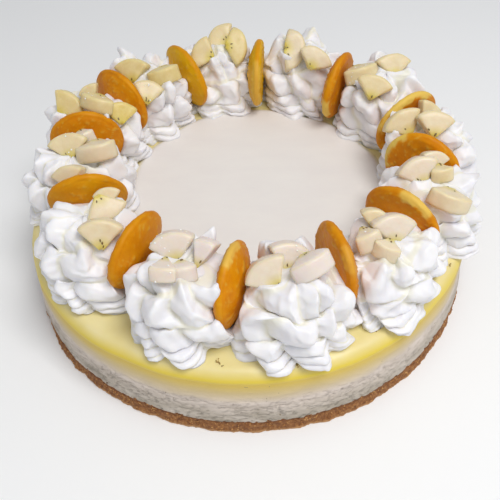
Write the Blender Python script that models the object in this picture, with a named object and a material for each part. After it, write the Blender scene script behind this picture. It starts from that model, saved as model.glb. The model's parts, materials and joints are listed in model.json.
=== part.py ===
"""A nine-inch banana pudding cheesecake, built in metres with +Z up.

From the bottom it has a crumb crust, the baked cheesecake, a layer of pudding with a soft
shoulder and a thin disc of cream. Twelve piped swirls stand in a ring on top. A round wafer
stands on edge between each two swirls, and banana chunks are pressed into the swirls' tops.
The origin is the middle of the crust's underside.
"""

import math
from collections import namedtuple

import bmesh
import bpy
from mathutils import Euler, Matrix, Vector
from mathutils.bvhtree import BVHTree

MM = 0.001
TOUCH_GAP = 0.3 * MM
GROWTH = 0.45 * MM
WELD = 0.005 * MM
FLATNESS = math.radians(1.0)

# Layers of the body
CAKE_RADIUS = 114.5 * MM
CRUST_TOP = 8.2 * MM
CHEESECAKE_TOP = 33.4 * MM
PUDDING_TOP = 41.2 * MM
SHOULDER_RADIUS = 6.0 * MM
LAYER_SEGMENTS = 56

# Disc of cream inside the ring, which sits a little behind the middle
DISC_RADIUS = 62.0 * MM
DISC_TOP = 43.0 * MM
DISC_CENTRE = Vector((5.0 * MM, 11.0 * MM))
DISC_TAPER = 5.0 * MM
DISC_SEGMENTS = 40

# Piped swirls: each is a stack of tiers, and each tier is a ring of slanting petals
SWIRL_PETALS = 8
SWIRL_COLUMNS = 24
SWIRL_LIPS = (1.00, 0.93, 0.76)
SWIRL_NECKS = (0.86, 0.84, 0.72, 0.42)
SWIRL_TIER_TOPS = (0.0, 0.40, 0.74, 1.0)
SWIRL_ROWS = (0.0, 0.28, 0.64)
PETAL_DEPTH = 0.17
PETAL_DROOP = 0.20
PETAL_TWIST = 0.42
PETAL_STEP = 1 / 3

# Wafers: a flat underside, a rounded edge and a domed top
WAFER_RADIUS = 19.0 * MM
WAFER_THICKNESS = 8.6 * MM
WAFER_SEGMENTS = 14
WAFER_PROFILE = ((0.87, 0.00), (1.00, 0.28), (0.76, 0.84))

# Wafer: distance from the axis, direction from the axis, height of its centre, turn of its
# face away from the ring's tangent, and lean of its face above the level
Wafer = namedtuple("Wafer", "reach direction height turn lean")
WAFERS = (
    Wafer(81.0, -95, 65.5, 12, 0),
    Wafer(77.5, -129, 64.0, 8, -8),
    Wafer(80.0, -163, 63.5, -7, -20),
    Wafer(86.0, -195, 64.5, 20, -9),
    Wafer(90.0, -219, 65.5, 0, -2),
    Wafer(88.5, -247, 65.0, 13, -8),
    Wafer(84.0, -275, 64.5, -1, 1),
    Wafer(85.0, -308, 65.0, 9, 4),
    Wafer(89.5, -341, 65.5, 10, 7),
    Wafer(87.0, -366, 65.5, -26, -1),
    Wafer(84.0, -393, 64.5, -9, 5),
    Wafer(81.5, -422, 64.5, -11, 0),
)

# Swirl: distance from the axis, half its length along that distance, half its width,
# height, and the turn of its first petal
Swirl = namedtuple("Swirl", "reach length width height start")
SWIRLS = (
    Swirl(85.0, 27.0, 29.0, 34.0, 10),
    Swirl(87.0, 28.0, 31.0, 33.0, 75),
    Swirl(85.5, 30.0, 29.0, 33.0, 140),
    Swirl(92.0, 27.5, 25.0, 34.0, 30),
    Swirl(92.0, 25.0, 28.0, 34.0, 200),
    Swirl(94.0, 23.5, 27.0, 36.0, 95),
    Swirl(96.0, 23.0, 29.0, 36.0, 320),
    Swirl(96.0, 25.0, 29.0, 35.0, 250),
    Swirl(95.0, 26.0, 26.0, 34.0, 55),
    Swirl(91.0, 28.0, 26.0, 33.0, 180),
    Swirl(89.0, 27.5, 29.0, 33.0, 290),
    Swirl(89.0, 27.0, 29.0, 34.0, 120),
)

# Chunk: place outwards and aside from the middle of its swirl, height of its middle, slice
# radius, sector angle and thickness, then its tip, roll and spin
Chunk = namedtuple("Chunk", "out aside height radius sector thick tip roll spin")
CHUNKS = {
    1: (
        Chunk(-8.0, -3.5, 78.0, 14.0, 95, 11.5, 35, 30, 140),
        Chunk(-8.0, 10.5, 78.0, 13.5, 45, 12.0, -10, -35, 110),
        Chunk(7.5, 0.0, 80.0, 13.5, 50, 9.0, 30, 40, 130),
    ),
    2: (
        Chunk(-9.0, 1.0, 76.0, 14.0, 95, 12.0, 30, 25, 140),
        Chunk(-0.5, 14.5, 77.0, 14.0, 95, 11.5, -35, -20, 325),
    ),
    3: (
        Chunk(1.5, -4.0, 76.5, 14.0, 95, 12.0, 10, -25, 240),
        Chunk(-13.0, 2.0, 77.5, 14.0, 100, 12.0, 5, 0, 320),
        Chunk(-1.0, 15.5, 73.0, 12.5, 85, 11.0, 10, -35, 50),
    ),
    4: (
        Chunk(9.0, 7.0, 76.0, 14.0, 95, 12.0, -5, 10, 65),
        Chunk(-8.0, 3.5, 79.5, 13.5, 90, 11.0, 25, 20, 145),
        Chunk(-16.5, -2.5, 72.0, 12.5, 95, 11.5, 20, 50, 305),
    ),
    5: (
        Chunk(1.0, 7.0, 77.5, 14.0, 95, 11.5, -5, -30, 275),
        Chunk(-15.0, 8.5, 71.0, 14.0, 80, 12.0, 45, 25, 5),
        Chunk(-11.0, -5.5, 75.0, 14.0, 90, 12.5, -10, 20, 70),
    ),
    6: (
        Chunk(6.5, -2.5, 82.0, 14.0, 95, 12.0, -5, 5, 230),
        Chunk(-7.0, 9.0, 78.0, 14.0, 95, 12.0, -20, 10, 25),
        Chunk(-5.5, -8.5, 80.5, 14.0, 100, 12.0, -20, 10, 135),
    ),
    7: (
        Chunk(-7.0, 2.0, 80.0, 14.0, 100, 12.5, 20, 5, 0),
        Chunk(-13.5, -12.5, 80.5, 14.0, 100, 11.5, 20, 10, 145),
    ),
    8: (
        Chunk(-7.0, 12.5, 75.0, 14.0, 95, 11.5, -10, -30, 285),
        Chunk(10.5, 5.5, 76.5, 14.0, 95, 12.0, 10, -20, 235),
        Chunk(-14.0, -5.0, 77.5, 14.0, 95, 12.0, -15, 15, 45),
    ),
    9: (
        Chunk(-15.5, 1.0, 77.5, 14.0, 100, 11.0, 25, 25, 135),
        Chunk(-1.5, 7.5, 77.5, 13.0, 55, 9.5, 10, 10, 105),
        Chunk(-2.5, -7.0, 81.0, 14.0, 90, 10.0, 10, 35, 105),
    ),
    10: (
        Chunk(-7.5, 1.5, 76.5, 14.0, 95, 11.5, 10, 25, 115),
        Chunk(8.5, -12.0, 74.0, 14.0, 95, 11.0, 40, 10, 165),
    ),
    11: (
        Chunk(-0.5, 1.5, 77.0, 14.0, 95, 11.5, 40, 15, 155),
        Chunk(-4.5, -10.0, 75.5, 12.0, 60, 11.5, -25, 35, 225),
    ),
    12: (
        Chunk(-2.5, -11.5, 76.5, 14.0, 95, 11.5, -30, 30, 35),
        Chunk(-9.5, -0.5, 76.5, 13.5, 85, 11.5, -40, -5, 0),
        Chunk(2.0, 5.5, 81.0, 13.5, 90, 11.5, 0, -20, 285),
    ),
}

# Finish: colour, roughness
Finish = namedtuple("Finish", "colour roughness")
CRUMB = Finish((0.30, 0.13, 0.05), 0.85)
BAKED_CHEESE = Finish((0.62, 0.54, 0.41), 0.60)
PUDDING = Finish((0.83, 0.63, 0.13), 0.35)
SPREAD_CREAM = Finish((0.83, 0.79, 0.69), 0.45)
PIPED_CREAM = Finish((0.87, 0.86, 0.86), 0.50)
WAFER_BROWN = Finish((0.52, 0.17, 0.01), 0.45)
BANANA_FLESH = Finish((0.80, 0.67, 0.46), 0.35)


def clear_scene():
    for old in list(bpy.data.objects):
        bpy.data.objects.remove(old, do_unlink=True)


def make_material(name, finish):
    material = bpy.data.materials.new(name)
    material.use_nodes = True
    shader = material.node_tree.nodes["Principled BSDF"]
    shader.inputs["Base Color"].default_value = (*finish.colour, 1.0)
    shader.inputs["Roughness"].default_value = finish.roughness
    shader.inputs["Metallic"].default_value = 0.0
    return material


def add_object(name, mesh, finish=None):
    """Put a mesh into the scene as one named object with a material of its own."""
    item = bpy.data.objects.new(name, mesh)
    bpy.context.scene.collection.objects.link(item)
    if finish is not None:
        mesh.materials.append(make_material(name + "_finish", finish))
        mesh.shade_smooth()
        mesh.set_sharp_from_angle(angle=math.radians(40))
    return item


def ring_mesh(name, rings, floor_point, top_point):
    """Close a stack of equal rings of points with a fan below and a fan above."""
    shape = bmesh.new()
    rows = [[shape.verts.new(point) for point in ring] for ring in rings]
    count = len(rows[0])
    for lower, upper in zip(rows, rows[1:]):
        for i in range(count):
            j = (i + 1) % count
            shape.faces.new((lower[i], lower[j], upper[j], upper[i]))
    floor_vertex = shape.verts.new(floor_point)
    top_vertex = shape.verts.new(top_point)
    for i in range(count):
        j = (i + 1) % count
        shape.faces.new((rows[0][j], rows[0][i], floor_vertex))
        shape.faces.new((rows[-1][i], rows[-1][j], top_vertex))
    bmesh.ops.triangulate(shape, faces=shape.faces[:])
    bmesh.ops.recalc_face_normals(shape, faces=shape.faces[:])
    mesh = bpy.data.meshes.new(name)
    shape.to_mesh(mesh)
    shape.free()
    return mesh


def body_swell(angle):
    """The hand-made body is not quite round: its radius drifts by under a millimetre."""
    return (0.45 * math.sin(2 * angle + 0.6) + 0.30 * math.sin(5 * angle + 2.0)) * MM


def crust_crags(angle, z):
    """The crust's edge breaks into crumbs, most of all at its foot."""
    coarse = math.sin(9 * angle + 40 * z / MM) * math.sin(14 * angle + 1.3)
    fine = math.sin(23 * angle + 1.7 * z / MM)
    return (0.55 * coarse + 0.35 * fine) * MM


def side_dimples(angle, z):
    """The baked side has shallow level dents."""
    return 0.35 * MM * math.sin(6 * angle + 0.5 * z / MM) * math.sin(0.9 * z / MM)


def layer(name, profile, finish, relief=None):
    """Turn a profile of radius and height into one layer of the body."""
    rings = []
    for radius, z in profile:
        ring = []
        for i in range(LAYER_SEGMENTS):
            angle = 2 * math.pi * i / LAYER_SEGMENTS
            reach = radius + body_swell(angle)
            if relief is not None:
                reach += relief(angle, z)
            ring.append(Vector((reach * math.cos(angle), reach * math.sin(angle), z)))
        rings.append(ring)
    bottom = Vector((0.0, 0.0, profile[0][1]))
    top = Vector((0.0, 0.0, profile[-1][1]))
    return add_object(name, ring_mesh(name, rings, bottom, top), finish)


def build_crust():
    foot = 0.6 * MM
    profile = (
        (CAKE_RADIUS - 1.2 * MM, 0.0),
        (CAKE_RADIUS + 0.6 * MM, foot),
        (CAKE_RADIUS - 0.2 * MM, CRUST_TOP * 0.55),
        (CAKE_RADIUS - 1.0 * MM, CRUST_TOP),
    )
    return layer("crust", profile, CRUMB, crust_crags)


def build_cheesecake():
    bottom = CRUST_TOP + TOUCH_GAP
    depth = CHEESECAKE_TOP - bottom
    shape = ((-1.0, 0.0), (-0.3, 0.15), (-0.7, 0.6), (-0.6, 1.0))
    profile = [(CAKE_RADIUS + out * MM, bottom + part * depth) for out, part in shape]
    return layer("cheesecake", profile, BAKED_CHEESE, side_dimples)


def build_pudding():
    bottom = CHEESECAKE_TOP + TOUCH_GAP
    centre_z = PUDDING_TOP - SHOULDER_RADIUS
    side = CAKE_RADIUS - 0.6 * MM
    profile = [(side, bottom)]
    for degrees in (10, 38, 66, 90):
        turn = math.radians(degrees)
        out = SHOULDER_RADIUS * (math.cos(turn) - 1)
        up = SHOULDER_RADIUS * math.sin(turn)
        profile.append((side + out, centre_z + up))
    return layer("pudding", profile, PUDDING)


def build_cream_disc():
    bottom = PUDDING_TOP + TOUCH_GAP
    profile = (
        (DISC_RADIUS, bottom),
        (DISC_RADIUS - 0.35 * DISC_TAPER, 0.35 * bottom + 0.65 * DISC_TOP),
        (DISC_RADIUS - DISC_TAPER, DISC_TOP),
    )
    rings = []
    for radius, z in profile:
        ring = []
        for i in range(DISC_SEGMENTS):
            angle = 2 * math.pi * i / DISC_SEGMENTS
            reach = radius + 1.2 * MM * math.sin(3 * angle + 1.0) * math.sin(7 * angle)
            spot = DISC_CENTRE + reach * Vector((math.cos(angle), math.sin(angle)))
            ring.append(Vector((spot.x, spot.y, z)))
        rings.append(ring)
    low = Vector((DISC_CENTRE.x, DISC_CENTRE.y, bottom))
    high = Vector((DISC_CENTRE.x, DISC_CENTRE.y, DISC_TOP))
    return add_object("cream_disc", ring_mesh("cream_disc", rings, low, high), SPREAD_CREAM)


def heading(degrees):
    """Unit vector from the axis in a level direction."""
    turn = math.radians(degrees)
    return Vector((math.cos(turn), math.sin(turn), 0.0))


def wafer_frame(wafer):
    """Place and turn of a wafer, whose own axis is its Z axis."""
    centre = wafer.reach * MM * heading(wafer.direction)
    centre.z = wafer.height * MM
    facing = math.radians(wafer.direction + 90 + wafer.turn)
    lean = math.radians(wafer.lean)
    normal = Vector((
        math.cos(lean) * math.cos(facing),
        math.cos(lean) * math.sin(facing),
        math.sin(lean),
    ))
    turn = Vector((0.0, 0.0, 1.0)).rotation_difference(normal).to_matrix().to_4x4()
    return Matrix.Translation(centre) @ turn


def build_wafer(index, wafer):
    name = f"wafer_{index:02d}"
    half = WAFER_THICKNESS / 2
    rings = []
    for part, rise in WAFER_PROFILE:
        ring = []
        for i in range(WAFER_SEGMENTS):
            angle = 2 * math.pi * i / WAFER_SEGMENTS
            uneven = 1 + 0.012 * math.sin(3 * angle + index) + 0.008 * math.sin(5 * angle)
            reach = part * uneven * WAFER_RADIUS
            z = rise * WAFER_THICKNESS - half
            ring.append(Vector((reach * math.cos(angle), reach * math.sin(angle), z)))
        rings.append(ring)
    low = Vector((0.0, 0.0, -half))
    high = Vector((0.0, 0.0, half))
    mesh = ring_mesh(name, rings, low, high)
    mesh.transform(wafer_frame(wafer))
    return add_object(name, mesh, WAFER_BROWN)


def swirl_bounds(index):
    """Directions of the wafers on the swirl's clockwise and other side."""
    nearer = WAFERS[index - 1].direction
    if index < len(WAFERS):
        return WAFERS[index].direction, nearer
    return WAFERS[0].direction - 360, nearer


def swirl_direction(index):
    low, high = swirl_bounds(index)
    return (low + high) / 2


def floor_height(spot):
    """Height of the layer under a point: the disc of cream inside, the pudding outside."""
    inside = DISC_RADIUS + 1.5 * MM - (Vector((spot.x, spot.y)) - DISC_CENTRE).length
    share = min(max(inside / (2.5 * MM), 0.0), 1.0)
    return PUDDING_TOP + share * (DISC_TOP - PUDDING_TOP) + TOUCH_GAP


def swirl_point(swirl, column, level, seed):
    """A point of a swirl about its own foot, from its place round the swirl and its tier.

    The whole part of level is the tier. Its fraction runs from the crease below the tier's
    petals, over their hanging lips and up to the crease above.
    """
    tier = min(int(level), len(SWIRL_LIPS) - 1)
    part = level - tier
    below, above = SWIRL_NECKS[tier], SWIRL_NECKS[tier + 1]
    arch = max(math.sin(math.pi * part), 0.0) ** 0.6
    petal = abs(math.sin(math.pi * (SWIRL_PETALS * column + PETAL_STEP * tier))) ** 0.7
    angle = 2 * math.pi * column + math.radians(swirl.start) - PETAL_TWIST * level
    uneven = 1 + 0.045 * math.sin(2 * angle + seed + tier)
    uneven += 0.035 * math.sin(3 * angle + 2.3 * seed)
    out = below + (above - below) * part
    out += (SWIRL_LIPS[tier] - 0.5 * (below + above)) * arch
    out *= uneven * (1 - PETAL_DEPTH * (1 - petal) * arch)
    rise = part - PETAL_DROOP * petal * math.sin(2 * math.pi * part)
    bottom, top = SWIRL_TIER_TOPS[tier], SWIRL_TIER_TOPS[tier + 1]
    z = swirl.height * MM * (bottom + (top - bottom) * rise)
    return Vector((
        out * swirl.length * MM * math.cos(angle),
        out * swirl.width * MM * math.sin(angle),
        z,
    ))


def keep_between(point, low, high):
    """Hold a point between the two level directions, half a gap clear of each."""
    for direction, side in ((low, 1), (high, -1)):
        across = heading(direction + 90) * side
        short = TOUCH_GAP * 0.6 - point.dot(across)
        if short > 0:
            point = point + short * across
    return point


def build_swirl(index, swirl):
    name = f"swirl_{index:02d}"
    low, high = swirl_bounds(index)
    direction = swirl_direction(index)
    foot = swirl.reach * MM * heading(direction)
    foot.z = PUDDING_TOP + TOUCH_GAP
    place = Matrix.Translation(foot) @ Matrix.Rotation(math.radians(direction), 4, "Z")
    levels = [tier + row for tier in range(len(SWIRL_LIPS)) for row in SWIRL_ROWS]
    levels.append(len(SWIRL_LIPS))
    rings = []
    for level in levels:
        ring = []
        for i in range(SWIRL_COLUMNS):
            spot = place @ swirl_point(swirl, i / SWIRL_COLUMNS, level, index)
            spot = keep_between(spot, low, high)
            spot.z = max(spot.z, floor_height(spot))
            ring.append(spot)
        rings.append(ring)
    peak = foot + Vector((0.0, 0.0, (swirl.height + 1.5) * MM))
    mesh = ring_mesh(name, rings, foot, peak)
    return add_object(name, mesh, PIPED_CREAM)


def chunk_frame(index, chunk):
    direction = swirl_direction(index)
    centre = (SWIRLS[index - 1].reach + chunk.out) * MM * heading(direction)
    centre += chunk.aside * MM * heading(direction + 90)
    centre.z = chunk.height * MM
    angles = (math.radians(chunk.tip), math.radians(chunk.roll), math.radians(chunk.spin))
    return Matrix.Translation(centre) @ Euler(angles).to_matrix().to_4x4()


def build_chunk(index, letter, chunk):
    """Part of a banana slice: two cut faces that meet at its core, and a rounded outside."""
    name = f"banana_{index:02d}_{letter}"
    half = chunk.thick * MM / 2
    radius = chunk.radius * MM
    steps = max(3, round(chunk.sector / 28))
    start = -math.radians(chunk.sector) / 2
    middle = Vector((0.55 * radius, 0.0, 0.0))
    outline = [Vector((0.04 * radius, 0.0, 0.0))]
    for i in range(steps + 1):
        angle = start + math.radians(chunk.sector) * i / steps
        outline.append(radius * Vector((math.cos(angle), math.sin(angle), 0.0)))
    rings = []
    for share, z in ((0.94, -half), (1.0, 0.0), (0.94, half)):
        ring = [middle + share * (spot - middle) + Vector((0.0, 0.0, z)) for spot in outline]
        rings.append([spot - middle for spot in ring])
    low = Vector((0.0, 0.0, -half))
    high = Vector((0.0, 0.0, half))
    mesh = ring_mesh(name, rings, low, high)
    mesh.transform(chunk_frame(index, chunk))
    return add_object(name, mesh, BANANA_FLESH)


def surface_tree(item, swollen=False):
    """Search tree of an object's mesh, or of that mesh swollen by the growth."""
    shape = bmesh.new()
    shape.from_mesh(item.data)
    if swollen:
        shape.normal_update()
        for vertex in shape.verts:
            vertex.co += GROWTH * vertex.normal
    tree = BVHTree.FromBMesh(shape)
    shape.free()
    return tree


def swollen_copy(item):
    """A slightly larger hidden copy, which cuts a seat for the item with room to spare."""
    mesh = item.data.copy()
    mesh.materials.clear()
    shape = bmesh.new()
    shape.from_mesh(mesh)
    shape.normal_update()
    moves = [GROWTH * vertex.normal.copy() for vertex in shape.verts]
    for vertex, move in zip(shape.verts, moves):
        vertex.co += move
    shape.to_mesh(mesh)
    shape.free()
    cutter = add_object("seat_of_" + item.name, mesh)
    cutter.hide_render = True
    cutter.display_type = "WIRE"
    return cutter


def cut_seats(item, firm_items, cutters):
    """Cut out of an item the seats of the firm items that reach into it."""
    tree = surface_tree(item)
    reaching = [firm for firm in firm_items if surface_tree(firm, True).overlap(tree)]
    if not reaching:
        return
    group = bpy.data.collections.new("seats_in_" + item.name)
    for firm in reaching:
        if firm.name not in cutters:
            cutters[firm.name] = swollen_copy(firm)
        group.objects.link(cutters[firm.name])
    cut = item.modifiers.new("seats", "BOOLEAN")
    cut.operation = "DIFFERENCE"
    cut.solver = "EXACT"
    cut.operand_type = "COLLECTION"
    cut.collection = group
    apply_cut(item)


def apply_cut(item):
    """Turn the cut into the item's own mesh, without the scraps that a seat cuts off."""
    depsgraph = bpy.context.evaluated_depsgraph_get()
    mesh = bpy.data.meshes.new_from_object(item.evaluated_get(depsgraph))
    item.modifiers.clear()
    item.data = mesh
    shape = bmesh.new()
    shape.from_mesh(mesh)
    bmesh.ops.remove_doubles(shape, verts=shape.verts[:], dist=WELD)
    islands = islands_of(shape)
    islands.sort(key=len, reverse=True)
    for scrap in islands[1:]:
        bmesh.ops.delete(shape, geom=scrap, context="VERTS")
    bmesh.ops.dissolve_limit(
        shape, angle_limit=FLATNESS, verts=shape.verts[:], edges=shape.edges[:]
    )
    bmesh.ops.triangulate(shape, faces=shape.faces[:])
    shape.to_mesh(mesh)
    shape.free()


def islands_of(shape):
    """Groups of vertices that edges join."""
    waiting = set(shape.verts)
    islands = []
    while waiting:
        island = []
        edge_of_search = [waiting.pop()]
        while edge_of_search:
            vertex = edge_of_search.pop()
            island.append(vertex)
            for edge in vertex.link_edges:
                other = edge.other_vert(vertex)
                if other in waiting:
                    waiting.remove(other)
                    edge_of_search.append(other)
        islands.append(island)
    return islands


def main():
    clear_scene()
    build_crust()
    build_cheesecake()
    build_pudding()
    build_cream_disc()
    wafers = [build_wafer(i, wafer) for i, wafer in enumerate(WAFERS, 1)]
    cutters = {}
    firm = list(wafers)
    for index, chunks in CHUNKS.items():
        for letter, chunk in zip("abc", chunks):
            piece = build_chunk(index, letter, chunk)
            cut_seats(piece, firm, cutters)
            firm.append(piece)
    for index, swirl in enumerate(SWIRLS, 1):
        cut_seats(build_swirl(index, swirl), firm, cutters)


if __name__ == "__main__":
    main()
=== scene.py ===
"""A banana pudding cheesecake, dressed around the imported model.

The file is laid out as an add-on: sizes and colours are properties, each group of like pieces
has an operator, and a panel in the sidebar lists them all. Everything is in metres with +Z up,
and the origin is the middle of the crust's underside.
"""

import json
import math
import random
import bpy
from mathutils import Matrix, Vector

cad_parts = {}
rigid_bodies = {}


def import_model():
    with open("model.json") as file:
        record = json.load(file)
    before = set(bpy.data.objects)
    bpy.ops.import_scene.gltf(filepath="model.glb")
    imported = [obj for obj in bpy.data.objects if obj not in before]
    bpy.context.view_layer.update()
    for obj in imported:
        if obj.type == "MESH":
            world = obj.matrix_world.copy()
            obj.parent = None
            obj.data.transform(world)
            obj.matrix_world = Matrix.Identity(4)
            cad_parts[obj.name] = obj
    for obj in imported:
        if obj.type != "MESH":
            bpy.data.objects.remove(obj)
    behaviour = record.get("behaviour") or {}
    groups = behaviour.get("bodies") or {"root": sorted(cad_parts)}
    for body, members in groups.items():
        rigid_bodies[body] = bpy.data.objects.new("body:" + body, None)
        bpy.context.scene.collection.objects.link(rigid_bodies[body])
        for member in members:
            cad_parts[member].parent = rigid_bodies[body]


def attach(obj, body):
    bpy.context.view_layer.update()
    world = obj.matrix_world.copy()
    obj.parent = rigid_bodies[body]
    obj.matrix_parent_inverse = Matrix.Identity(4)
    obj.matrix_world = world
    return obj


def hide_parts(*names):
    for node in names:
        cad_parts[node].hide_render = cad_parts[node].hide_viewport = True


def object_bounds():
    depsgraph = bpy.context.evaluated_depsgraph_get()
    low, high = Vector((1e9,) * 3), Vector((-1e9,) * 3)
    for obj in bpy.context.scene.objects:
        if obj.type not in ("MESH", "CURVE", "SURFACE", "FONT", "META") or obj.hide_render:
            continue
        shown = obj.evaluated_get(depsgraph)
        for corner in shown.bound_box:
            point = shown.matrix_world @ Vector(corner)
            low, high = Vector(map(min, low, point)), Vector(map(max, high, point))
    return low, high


bl_info = {
    "name": "Banana Pudding Cheesecake",
    "version": (1, 0, 0),
    "blender": (4, 5, 0),
    "location": "3D View > Sidebar > Cheesecake",
    "description": "Builds a topped cheesecake with piped cream, wafers and banana",
    "category": "Object",
}

from collections import namedtuple

import bmesh
import bpy
import numpy as np
from bpy.props import FloatProperty, FloatVectorProperty, IntProperty, PointerProperty
from mathutils import Euler, Matrix, Vector, noise

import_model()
CAD_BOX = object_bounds()

MM = 0.001
BODY = "root"
BOX_MARGIN = 0.1 * MM

# Layers of the body
CAKE_RADIUS = 114.5 * MM
CRUST_TOP = 8.2 * MM
CHEESECAKE_TOP = 33.4 * MM
PUDDING_TOP = 41.2 * MM
SHOULDER_RADIUS = 6.0 * MM
DISC_RADIUS = 62.0 * MM
DISC_TOP = 43.0 * MM
DISC_CENTRE = (5.0 * MM, 11.0 * MM)
DISC_SPREAD = 7.0 * MM
DISC_TAPER = 5.0 * MM
PUDDING_RADIUS = CAKE_RADIUS - 1.9 * MM
WAFER_RADIUS = 19.0 * MM
WAFER_THICKNESS = 8.6 * MM

# Points round each layer, and rows and columns of the points on a swirl
CRUST_POINTS = 900
SIDE_POINTS = 800
PUDDING_POINTS = 480
DISC_POINTS = 240
WAFER_POINTS = 110
SWIRL_ROWS = 230
SWIRL_COLUMNS = 180

# Wafer: distance from the axis, direction, height of its centre, turn of its face away from
# the ring's tangent, and lean of its face above the level
Wafer = namedtuple("Wafer", "reach direction height turn lean")
WAFERS = (
    Wafer(82.0, -94.3, 63.8, -14, 2),
    Wafer(77.5, -129, 64.0, 8, -8),
    Wafer(80.0, -163, 63.5, -7, -20),
    Wafer(86.0, -195, 64.5, 20, -9),
    Wafer(90.0, -219, 65.5, 0, -2),
    Wafer(88.5, -247, 65.0, 13, -8),
    Wafer(84.0, -275, 64.5, -1, 1),
    Wafer(85.0, -308, 65.0, 9, 4),
    Wafer(89.5, -341, 65.5, 10, 7),
    Wafer(87.0, -366, 65.5, -26, -1),
    Wafer(84.0, -393, 64.5, -9, 5),
    Wafer(81.5, -422, 64.5, -11, 0),
)

# How far some wafers are baked to gold instead of brown, from 0 to 1
GOLDEN_WAFERS = {2: 0.1, 3: 0.3, 6: 0.85, 7: 1.0}

# Pale patches on the wafers' rims: strength, direction in the wafer's plane from outwards (0)
# over up (90) to inwards (180), and half spread
PALE_RIMS = {
    1: (0.55, 100, 25),
    7: (0.35, 170, 50),
    8: (0.7, 200, 25),
    9: (0.8, 110, 60),
    10: (0.9, 160, 35),
    11: (0.7, 62, 26),
    12: (0.25, 50, 22),
}

# Swirl: distance from the axis, half its length along that distance, half its width,
# height, the turn of its first petal, number of petals, and how strongly they fold over
Swirl = namedtuple("Swirl", "reach length width height start petals folding")
SWIRLS = (
    Swirl(85.5, 26.5, 28.5, 34.0, 10, 8, 1.0),
    Swirl(87.0, 28.0, 31.0, 33.0, 75, 8, 1.0),
    Swirl(85.5, 30.0, 29.0, 33.0, 140, 8, 0.9),
    Swirl(92.0, 27.5, 25.0, 34.0, 30, 8, 1.0),
    Swirl(92.0, 25.0, 28.0, 34.0, 200, 8, 1.0),
    Swirl(94.0, 23.5, 27.0, 36.0, 95, 9, 0.55),
    Swirl(96.0, 23.0, 29.0, 36.0, 320, 8, 0.9),
    Swirl(96.0, 25.0, 29.0, 35.0, 250, 8, 1.0),
    Swirl(95.0, 26.0, 26.0, 34.0, 55, 8, 1.0),
    Swirl(91.0, 28.0, 26.0, 33.0, 180, 8, 0.9),
    Swirl(89.0, 27.5, 29.0, 33.0, 325, 10, 0.6),
    Swirl(89.0, 27.0, 29.0, 34.0, 120, 8, 1.0),
)

# Swirls that stand off the middle between their wafers, in degrees
SWIRL_SHIFTS = {1: 2.0}

# How fast the cream is laid down: share of a swirl's height, and turns of cream up to there
FOLD_TURNS = ((0.00, 0.0), (0.09, 1.0), (0.19, 2.0), (0.32, 3.0), (0.66, 4.0), (1.00, 5.0))

# Curls pulled up from a swirl: direction from its middle, share of its height, and rise in
# millimetres
CURLS = {
    1: ((100, 0.84, 5), (130, 0.82, 4.5), (158, 0.82, 6)),
    4: ((150, 0.84, 6),),
    5: ((12, 0.86, 7), (-60, 0.80, 5)),
    7: ((-18, 0.86, 11),),
    8: ((30, 0.84, 7),),
    9: ((-30, 0.84, 7), (150, 0.80, 6)),
    10: ((20, 0.82, 7),),
    12: ((168, 0.86, 6), (-160, 0.84, 5)),
}

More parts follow.
